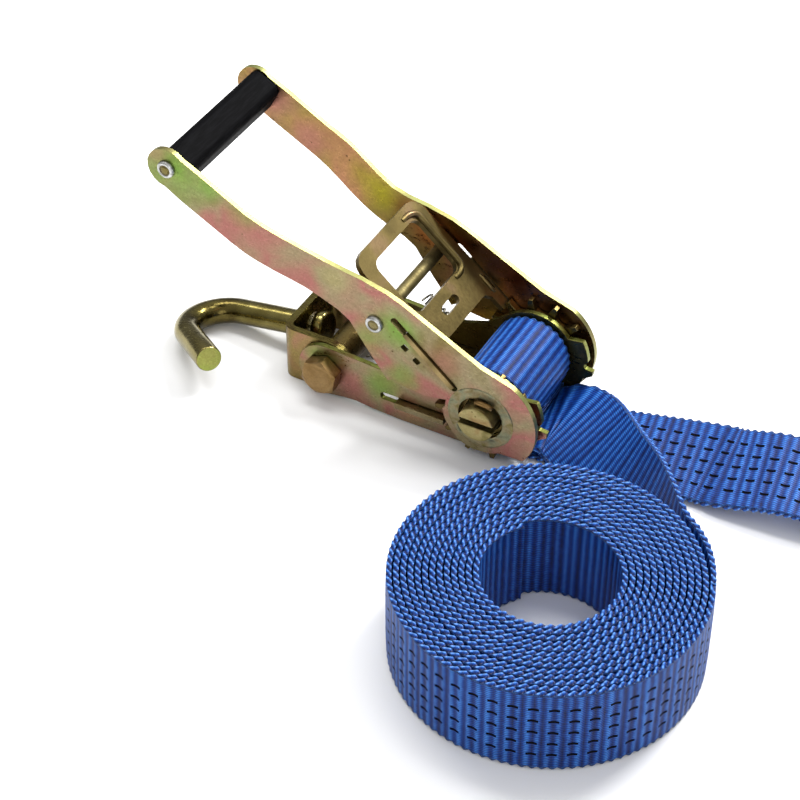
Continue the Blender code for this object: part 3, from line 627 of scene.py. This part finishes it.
def dress_handle(edge, line):
    near = plated("plate_near", [(0.30, OLIVE), (0.44, TAN), (0.60, PINK), (0.72, TAN)], clouds=[
        (on_handle(0.200, 0.004, -0.0455), 0.030, LIME, 0.95),
        (on_handle(0.182, 0.008, -0.0455), 0.015, LIME, 0.80),
        (on_handle(0.160, 0.010, -0.0450), 0.013, LIME, 0.75),
        (on_handle(0.160, -0.006, -0.0450), 0.026, PINK, 0.75),
        (on_handle(0.128, 0.006, -0.0410), 0.018, TAN, 0.80),
        (on_handle(0.118, -0.006, -0.0400), 0.014, PINK, 0.70),
        (on_handle(0.104, 0.010, -0.0375), 0.014, STRAW, 0.70),
        (on_handle(0.062, 0.010, -0.0375), 0.018, LIME, 0.85),
        (on_handle(0.070, -0.008, -0.0375), 0.016, LIME, 0.60),
        (on_handle(0.034, 0.014, -0.0375), 0.016, PINK, 0.55),
        (on_handle(0.044, -0.014, -0.0375), 0.014, LIME, 0.60),
        (on_handle(0.020, -0.018, -0.0375), 0.014, PINK, 0.50),
        (on_handle(-0.024, -0.008, -0.0375), 0.016, PINK, 0.55),
    ])
    inner = [(0.28, rgb(128, 112, 66)), (0.46, rgb(150, 124, 70)), (0.64, rgb(166, 118, 86))]
    far = plated("plate_far", inner, clouds=[
        (on_handle(0.196, 0.0, 0.0425), 0.024, PINK, 0.85),
        (on_handle(0.165, -0.006, 0.0425), 0.020, PINK, 0.65),
        # painted highlight: the two yellow-green patches at the joggle stand in for the light the bend
        # catches
        (on_handle(0.132, 0.004, 0.0390), 0.020, rgb(140, 124, 44), 0.90),
        (on_handle(0.116, 0.006, 0.0365), 0.020, rgb(150, 142, 38), 0.95),
        # orange, plum and red-brown plating tone towards the head, made darker than the plate's own colour as
        # painted shade where the plate lies between the drum, wheel and near plate
        (on_handle(0.098, 0.010, 0.0345), 0.016, rgb(110, 60, 26), 0.80),
        (on_handle(0.080, 0.012, 0.0345), 0.020, ORANGE, 0.90),
        (on_handle(0.064, 0.018, 0.0345), 0.018, rgb(92, 42, 20), 0.95),
        (on_handle(0.046, 0.020, 0.0345), 0.018, PLUM, 0.85),
        (on_handle(0.030, 0.024, 0.0345), 0.018, rgb(104, 50, 24), 0.95),
        (on_handle(0.006, 0.026, 0.0345), 0.016, rgb(86, 52, 28), 0.95),
        (on_handle(-0.018, 0.022, 0.0345), 0.018, rgb(96, 66, 34), 0.90),
    ], offset=(0.2, 0.4, 0.1))
    worn = [(0.30, rgb(92, 92, 78)), (0.42, GREY_GREEN), (0.56, TAN), (0.7, OLIVE)]
    ring = plated("ring", worn, scale=150.0, roughness=(0.35, 0.6), pits=1.0)
    wall = plated("hole_wall", [(0.35, BROWN), (0.65, BRONZE)], scale=90.0, roughness=(0.35, 0.6))
    refine("handle_plate_near", near, edge, 0.0004, line)
    refine("handle_plate_far", far, edge, 0.0004, line)
    spindle = ORIGIN + Vector((0.0, 0.0, SPINDLE_Z))
    for side, name in ((-1, "head_ring_near"), (1, "head_ring_far")):
        face = spindle + Vector((0.0, side * 0.0375, 0.0))
        lathe(name, face, side, HEAD_RING, "handle", [ring, wall], walls=3)


HEAD_RING = [(0.0160, -0.0010), (0.0123, -0.0010), (0.0123, 0.0000), (0.0126, 0.0004), (0.0131, 0.0006),
             (0.0142, 0.0004), (0.0158, 0.0002), (0.0172, 0.0003), (0.0182, 0.0004), (0.0187, 0.0002),
             (0.0190, -0.0004)]
RIVET_RIM = [(0.0030, -0.0003), (0.0030, 0.0002), (0.0033, 0.0005), (0.0041, 0.0004), (0.0047, 0.0000),
             (0.0050, -0.0012), (0.0050, -0.0016)]
RIVET_CENTRE = [(0.0000, -0.0004), (0.0000, 0.0005), (0.0014, 0.0005), (0.0023, 0.0003), (0.0027, -0.0004)]


def lathe(name, face, side, profile, body, finishes, walls=0):
    """Ring or disc turned about the Y line through a point; heights count outwards on the given side."""
    steps = 64
    bm = bmesh.new()
    rings = []
    for radius, height in profile:
        y = side * height
        rings.append([bm.verts.new(face + Vector((radius * math.cos(2 * math.pi * i / steps), y,
                                                  radius * math.sin(2 * math.pi * i / steps))))
                      for i in range(steps)])
    for k, (a, b) in enumerate(zip(rings, rings[1:] + rings[:1])):
        for i in range(steps):
            made = bm.faces.new((a[i], a[(i + 1) % steps], b[(i + 1) % steps], b[i]))
            made.material_index = 1 if k < walls else 0
    bmesh.ops.remove_doubles(bm, verts=bm.verts, dist=1e-6)
    piece = mesh_piece(name, bm, *finishes)
    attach(piece, body)
    return piece


def hex_head(node, turn, finish):
    """Chamfered end of a hexagon head: a round face with the six corners cut back."""
    low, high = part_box(node)
    flat, face_r, drop = 0.0096, 0.0090, math.tan(math.radians(28))
    centre = Vector(((low.x + high.x) / 2, low.y - 0.0002, (low.z + high.z) / 2))
    steps = 96
    bm = bmesh.new()
    rings = [[], [], [], [], []]
    for i in range(steps):
        a = 2 * math.pi * i / steps
        corner = flat / math.cos((a - turn) % (math.pi / 3) - math.pi / 6)
        fall = (corner - face_r) * drop
        places = ((0.0060, 0.0), (face_r - 0.0003, 0.0), (face_r, 0.0001), (corner, fall), (corner, 0.0060))
        for ring, (radius, depth) in zip(rings, places):
            ring.append(bm.verts.new(centre + Vector((radius * math.cos(a), depth, radius * math.sin(a)))))
    bm.faces.new(rings[0])
    bm.faces.new(rings[-1])
    for a, b in zip(rings, rings[1:]):
        for i in range(steps):
            bm.faces.new((a[i], a[(i + 1) % steps], b[(i + 1) % steps], b[i]))
    piece = mesh_piece(node + "_head", bm, finish)
    piece.data.shade_flat()
    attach(piece, "frame")


def rivet_ends(name, along, up, out, rim, centre):
    """Peened end of a rod on each handle plate: a rolled rim round a plated core."""
    for side, word in ((-1, "near"), (1, "far")):
        face = on_handle(along, up, side * out)
        lathe(name + "_rim_" + word, face, side, RIVET_RIM, "handle", [rim])
        lathe(name + "_core_" + word, face, side, RIVET_CENTRE, "handle", [centre])


def swept(name, points, radius, finish, body, radii=None, sides=4):
    """Round bar along points of the row frame; radii scale it at each point."""
    curve = bpy.data.curves.new(name, "CURVE")
    curve.dimensions = "3D"
    curve.bevel_depth = radius
    curve.bevel_resolution = sides
    curve.use_fill_caps = True
    spline = curve.splines.new("POLY")
    spline.points.add(len(points) - 1)
    for place, scale, point in zip(points, radii or [1.0] * len(points), spline.points):
        point.co = (*place, 1.0)
        point.radius = scale
    piece = bpy.data.objects.new(name, curve)
    bpy.context.scene.collection.objects.link(piece)
    graph = bpy.context.evaluated_depsgraph_get()
    mesh = bpy.data.meshes.new_from_object(piece.evaluated_get(graph))
    bpy.data.objects.remove(piece)
    mesh.name = name
    mesh.materials.clear()
    mesh.materials.append(finish)
    mesh.shade_smooth()
    piece = bpy.data.objects.new(name, mesh)
    bpy.context.scene.collection.objects.link(piece)
    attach(piece, body)
    return piece


HOOK_HEAD = ((-0.0122, 1.10), (-0.0118, 1.25), (-0.0106, 1.33), (-0.0082, 1.36), (-0.0066, 1.33),
             (-0.0056, 1.12))


def forged_hook(node, bolt, outwards, finish, tip):
    """Round J hook with an upset head inside its bracket and a flat cut tip."""
    up = Vector((0.0, 0.0, 1.0))
    place = ORIGIN + Vector(bolt) + outwards * HOOK_SEAT
    shank = outwards * math.cos(HOOK_DROOP) - up * math.sin(HOOK_DROOP)
    side = up.cross(-outwards)
    top = (-shank).cross(side)
    turned_to = top * math.sin(HOOK_LIFT) - side * math.cos(HOOK_LIFT)
    points = [place + shank * s for s, scale in HOOK_HEAD]
    radii = [scale for s, scale in HOOK_HEAD]
    for i in range(9):
        points.append(place + shank * (HOOK_SHANK * i / 8))
        radii.append(1.0)
    centre = points[-1] + turned_to * HOOK_BEND_R
    steps = 40
    for i in range(1, steps + 1):
        a = HOOK_BEND * i / steps
        points.append(centre - turned_to * HOOK_BEND_R * math.cos(a) + shank * HOOK_BEND_R * math.sin(a))
        radii.append(1.0)
    out = shank * math.cos(HOOK_BEND) + turned_to * math.sin(HOOK_BEND)
    end = points[-1]
    for share, scale in ((0.5, 1.0), (0.975, 1.0), (0.99, 0.985), (1.0, 0.94)):
        points.append(end + out * HOOK_TAIL * share)
        radii.append(scale)
    piece = swept(node + "_forged", points, HOOK_R, finish, node, radii, 14)
    piece.data.materials.append(tip)
    for face in piece.data.polygons:
        if face.normal.dot(out) > 0.95 and (face.center - points[-1]).length < HOOK_R * 1.2:
            face.material_index = 1
            face.use_smooth = False
    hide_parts(node)


def dress_release_plate():
    finish = plated("release", [(0.30, rgb(84, 74, 44)), (0.52, rgb(112, 98, 60)), (0.72, rgb(126, 104, 78))],
                    roughness=(0.34, 0.52), pits=0.35, scale=34.0, clouds=[
                        # painted highlight: pale bronze patches on the pawl's ear, lighting it where it
                        # stands in the handle's slot
                        (on_pawl(0.030, -0.0388), 0.012, rgb(168, 146, 100), 0.95),
                        (on_pawl(0.048, -0.0388), 0.012, rgb(168, 146, 100), 0.95)])
    refine("release_plate", finish, None, 0.0007)
    bead = [on_pawl(0.0992, 0.0140, 0.0004), on_pawl(0.0988, 0.0200, 0.0016), on_pawl(0.0965, 0.0240, 0.0020),
            on_pawl(0.0920, 0.0252, 0.0021), on_pawl(0.0780, 0.0252, 0.0021), on_pawl(0.0640, 0.0252, 0.0020),
            on_pawl(0.0600, 0.0240, 0.0019), on_pawl(0.0582, 0.0205, 0.0016), on_pawl(0.0580, 0.0160, 0.0004)]
    route = smooth_route([tuple(p) for p in bead], 60)
    swept("release_bead", route, 0.0018, finish, "drive_pawl")
    rib = [on_pawl(0.0370, 0.0310, 0.0008), on_pawl(0.0400, 0.0304, 0.0018), on_pawl(0.0455, 0.0304, 0.0018),
           on_pawl(0.0490, 0.0310, 0.0008)]
    route = smooth_route([tuple(p) for p in rib], 16)
    swept("release_rib", route, 0.0011, finish, "drive_pawl")


def dress_rods():
    steel = bare_steel("rivet_steel", rgb(150, 150, 146))
    core = plated("rivet_core", [(0.35, TAN), (0.65, OLIVE)], scale=120.0)
    rod = plated("rod", [(0.30, rgb(96, 86, 54)), (0.60, rgb(132, 122, 84))], pits=0.3, scale=60.0,
                 roughness=(0.50, 0.70))
    refine("handle_cross_rod", rod, None, 0.0003)
    refine("grip_rivet", rod, None, 0.0003)
    rivet_ends("cross_rod", 0.0728, 0.0033, 0.0391, steel, core)
    rivet_ends("grip_rivet", 0.2050, 0.0, 0.0471, steel, core)
    refine("grip", moulded_plastic(), None, 0.0005)


def base_point(x, z):
    """A point on the near base plate's outer face."""
    return ORIGIN + Vector((x, -0.0295, z))


def dress_base(line):
    base_edge = plated("base_edge", [(0.30, rgb(92, 88, 44)), (0.52, rgb(126, 134, 66)), (0.72, BRONZE)],
                       pits=0.2, scale=60.0)
    base = plated("base_near", [(0.30, PINK), (0.45, TAN), (0.58, PINK), (0.72, LIME)], clouds=[
        (base_point(-0.082, 0.012), 0.016, PINK, 0.80),
        (base_point(-0.062, 0.020), 0.016, LIME, 0.75),
        (base_point(-0.045, 0.008), 0.014, rgb(176, 132, 100), 0.70),
        (base_point(-0.100, 0.026), 0.014, LIME, 0.60),
        (base_point(0.024, 0.010), 0.014, rgb(190, 140, 100), 0.70),
    ], offset=(0.7, 0.2, 0.3))
    refine("base_plate_near", base, base_edge, 0.0004, line)
    # painted shade: the far base plate takes a dimmer bronze and olive copy of the plating, for the shade it
    # lies in behind the near plate
    shaded_far_base = plated("base_far", [(0.30, BRONZE), (0.55, OLIVE), (0.75, TAN)], offset=(0.1, 0.6, 0.2))
    refine("base_plate_far", shaded_far_base, base_edge, 0.0004, line)


def dress_fittings():
    """Bolts, nuts, sleeves, wheels and brackets; gives back the bolts' finish."""
    bolt = plated("bolt", [(0.30, rgb(128, 100, 58)), (0.52, rgb(152, 124, 82)), (0.72, BRONZE)],
                  scale=70.0, roughness=(0.30, 0.55))
    for node in ("pivot_bolt", "pivot_nut", "far_bolt", "far_nut"):
        refine(node, bolt, None, 0.0004)
    hex_head("pivot_bolt", math.radians(20), bolt)
    dark = plated("dark_plate", [(0.30, BROWN), (0.55, BRONZE), (0.75, OLIVE)], pits=0.3, scale=40.0)
    for node in ("spacer_sleeve", "far_sleeve", "ratchet_wheel_near", "ratchet_wheel_far"):
        refine(node, dark, None, 0.0003)
    outer = [(0.30, rgb(140, 106, 70)), (0.48, rgb(140, 122, 72)), (0.62, PINK), (0.74, OLIVE)]
    bracket = plated("bracket", outer, scale=34.0, offset=(0.4, 0.9, 0.5))
    rim = plated("bracket_rim", [(0.30, rgb(84, 72, 38)), (0.52, rgb(112, 104, 54)), (0.72, BROWN)],
                 scale=60.0, pits=0.3, roughness=(0.20, 0.36))
    for node in ("hook_bracket", "far_bracket"):
        refine(node, bracket, rim, 0.0009)
    return bolt


def dress_hooks():
    tip = plated("tip", [(0.35, rgb(140, 164, 70)), (0.65, rgb(164, 164, 88))], pits=0.2, scale=60.0)
    forged = plated("forged", [(0.28, rgb(64, 54, 28)), (0.44, rgb(110, 100, 54)),
                               (0.58, rgb(146, 136, 86)), (0.74, rgb(148, 164, 74))],
                    roughness=(0.14, 0.28), pits=0.3, scale=20.0)
    forged_hook("hook", NEAR_BOLT, Vector((-1.0, 0.0, 0.0)), forged, tip)
    away = Vector((math.cos(FAR_TURN), math.sin(FAR_TURN), 0.0))
    forged_hook("far_hook", FAR_BOLT, away, forged, tip)


def dress_springs():
    """The two coils, plated, each with a mesh of its own."""
    wire = plated("spring_wire", [(0.35, rgb(92, 90, 80)), (0.65, rgb(130, 126, 112))], pits=0.0)
    spring = refine("drive_spring", wire, None, 0.0)
    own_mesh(spring)
    spring = refine("lock_spring", wire, None, 0.0)
    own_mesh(spring)


def dress_metal():
    line = plated("dark_line", [(0.35, rgb(70, 62, 34)), (0.65, rgb(104, 96, 56))], pits=0.0, scale=80.0)
    dress_handle(cut_edge(), line)
    dress_rods()
    dress_base(line)
    bolt = dress_fittings()
    dress_hooks()
    mandrel = plated("mandrel", [(0.32, OLIVE), (0.52, rgb(164, 152, 104)), (0.70, rgb(150, 120, 80))],
                     scale=70.0, roughness=(0.32, 0.55))
    for node in ("mandrel_upper", "mandrel_lower"):
        refine(node, mandrel, None, 0.0006)
    for node in ("split_pin_near", "split_pin_far"):
        refine(node, bolt, None, 0.0)
    pawl = plated("lock_plate", [(0.32, BRONZE), (0.60, TAN)], scale=50.0)
    refine("lock_pawl", pawl, None, 0.0005)
    dress_release_plate()
    refine("spring_seat", pawl, None, 0.0002)
    dress_springs()


# ---------------------------------------------------------------- stage

def area_light(name, place, aim, size, energy, depth=None):
    data = bpy.data.lights.new(name, "AREA")
    data.shape = "RECTANGLE" if depth else "DISK"
    data.size = size
    data.size_y = depth or size
    data.energy = energy
    lamp = bpy.data.objects.new(name, data)
    bpy.context.scene.collection.objects.link(lamp)
    lamp.location = place
    lamp.rotation_euler = (Vector(aim) - Vector(place)).to_track_quat("-Z", "Y").to_euler()


SKY_STRENGTH = 0.85
SKY = ((0.0, 0.22), (0.25, 0.34), (0.50, 0.62), (0.80, 1.0))  # height of the view, brightness


def sky():
    """Even studio light from above, dimmer round the horizon."""
    world = bpy.data.worlds.new("studio")
    world.use_nodes = True
    tree = world.node_tree
    direction = tree.nodes.new("ShaderNodeTexCoord")
    split = tree.nodes.new("ShaderNodeSeparateXYZ")
    ramp = tree.nodes.new("ShaderNodeValToRGB")
    line = ramp.color_ramp.elements
    while len(line) < len(SKY):
        line.new(0.5)
    for element, (height, level) in zip(line, SKY):
        element.position = height
        element.color = (level, level, level, 1.0)
    tree.links.new(direction.outputs["Generated"], split.inputs[0])
    tree.links.new(split.outputs[2], ramp.inputs[0])
    tree.links.new(ramp.outputs[0], tree.nodes["Background"].inputs[0])
    tree.nodes["Background"].inputs[1].default_value = SKY_STRENGTH
    bpy.context.scene.world = world


def stage():
    bm = bmesh.new()
    bmesh.ops.create_grid(bm, x_segments=1, y_segments=1, size=4.0)
    f = Finish("pale_floor")
    colour = f.mix(f.fade(f.noise(3.0, 1.0), 0.3, 0.7), (0.90, 0.90, 0.905, 1.0), (0.92, 0.92, 0.92, 1.0))
    floor = mesh_piece("floor", bm, f.finish(colour, 0.85))
    f.put(f.shader.inputs["Specular IOR Level"], 0.1)
    sky()
    area_light("key", (0.25, 0.95, 1.15), (-0.02, 0.0, 0.0), 0.50, 24.0)
    area_light("top", (-0.62, 0.30, 1.20), (-0.62, 0.29, 0.0), 1.5, 12.0, 0.28)
    area_light("fill", (0.5, -1.2, 0.6), (0.0, 0.0, 0.0), 1.0, 5.0)
    bpy.context.scene.view_settings.view_transform = "Standard"


CAMERA_PLACE = Vector((0.36929, -0.80414, 0.77500))
CAMERA_AZIMUTH = math.radians(28.5)
CAMERA_ELEVATION = math.radians(40.8)
CAMERA_LENS = 99.0


def camera():
    data = bpy.data.cameras.new("camera")
    data.sensor_width = 36.0
    data.lens = CAMERA_LENS
    data.clip_start = 0.05
    data.clip_end = 20.0
    item = bpy.data.objects.new("camera", data)
    bpy.context.scene.collection.objects.link(item)
    item.location = ORIGIN + CAMERA_PLACE
    item.rotation_euler = (math.pi / 2 - CAMERA_ELEVATION, 0.0, CAMERA_AZIMUTH)
    bpy.context.scene.camera = item


dress_webbing()
dress_metal()
stage()
camera()
